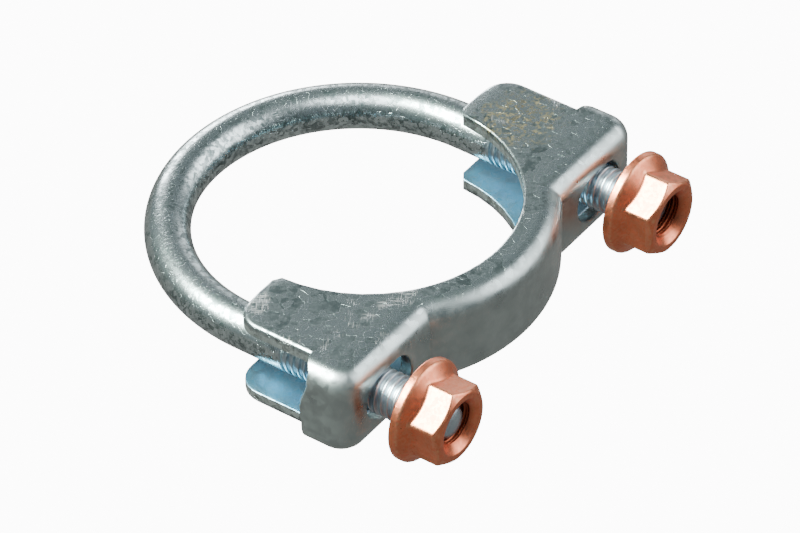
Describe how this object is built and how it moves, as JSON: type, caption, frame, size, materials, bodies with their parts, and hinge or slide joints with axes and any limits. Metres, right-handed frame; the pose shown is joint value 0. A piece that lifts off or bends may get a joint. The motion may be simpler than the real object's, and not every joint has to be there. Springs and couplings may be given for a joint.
{
  "type": "u-bolt pipe clamp",
  "caption": "Exhaust-pipe U-bolt clamp: a round bar bent to a U with threaded legs, a pressed channel saddle that bears on the pipe, and flange nuts that draw them together.",
  "frame": {"origin": "centre of the saddle's pipe seat, on the pipe's axis at mid height, with the clamp loose", "axes": "+Z along the pipe's axis; the legs run along Y, with the bend on the +Y side and the nuts on the -Y side; +X from the left leg to the right leg"},
  "size_m": [0.0834, 0.0785, 0.0178],
  "materials": {
    "zinc_bar": "bright zinc plating with a clear passivate, mottled grey on the bar and brighter on the threads",
    "zinc_sheet": "bright zinc plating with a clear passivate, mottled on the flats and polished on the folds",
    "copper_plate": "satin copper plating over steel"
  },
  "bodies": {
    "u_bolt": {"u_bolt": "zinc_bar"},
    "saddle": {"saddle": "zinc_sheet"},
    "nut_left": {"nut_left": "copper_plate"},
    "nut_right": {"nut_right": "copper_plate"}
  },
  "joints": [
    {"name": "saddle_slide", "type": "slide", "parent": "u_bolt", "child": "saddle", "axis": [0, 1, 0], "range_m": [-0.0025, 0.0045]},
    {"name": "nut_left_turn", "type": "hinge", "parent": "saddle", "child": "nut_left", "pos_m": [-0.03125, -0.0323, 0], "axis": [0, 1, 0], "range_deg": [-720, 1296]},
    {"name": "nut_right_turn", "type": "hinge", "parent": "saddle", "child": "nut_right", "pos_m": [0.03125, -0.0313, 0], "axis": [0, 1, 0], "range_deg": [-720, 1296]}
  ],
  "couplings": [
    {"joint": "nut_left_turn", "follows": "saddle_slide", "rad_per_m": 5026.5},
    {"joint": "nut_right_turn", "follows": "saddle_slide", "rad_per_m": 5026.5}
  ]
}
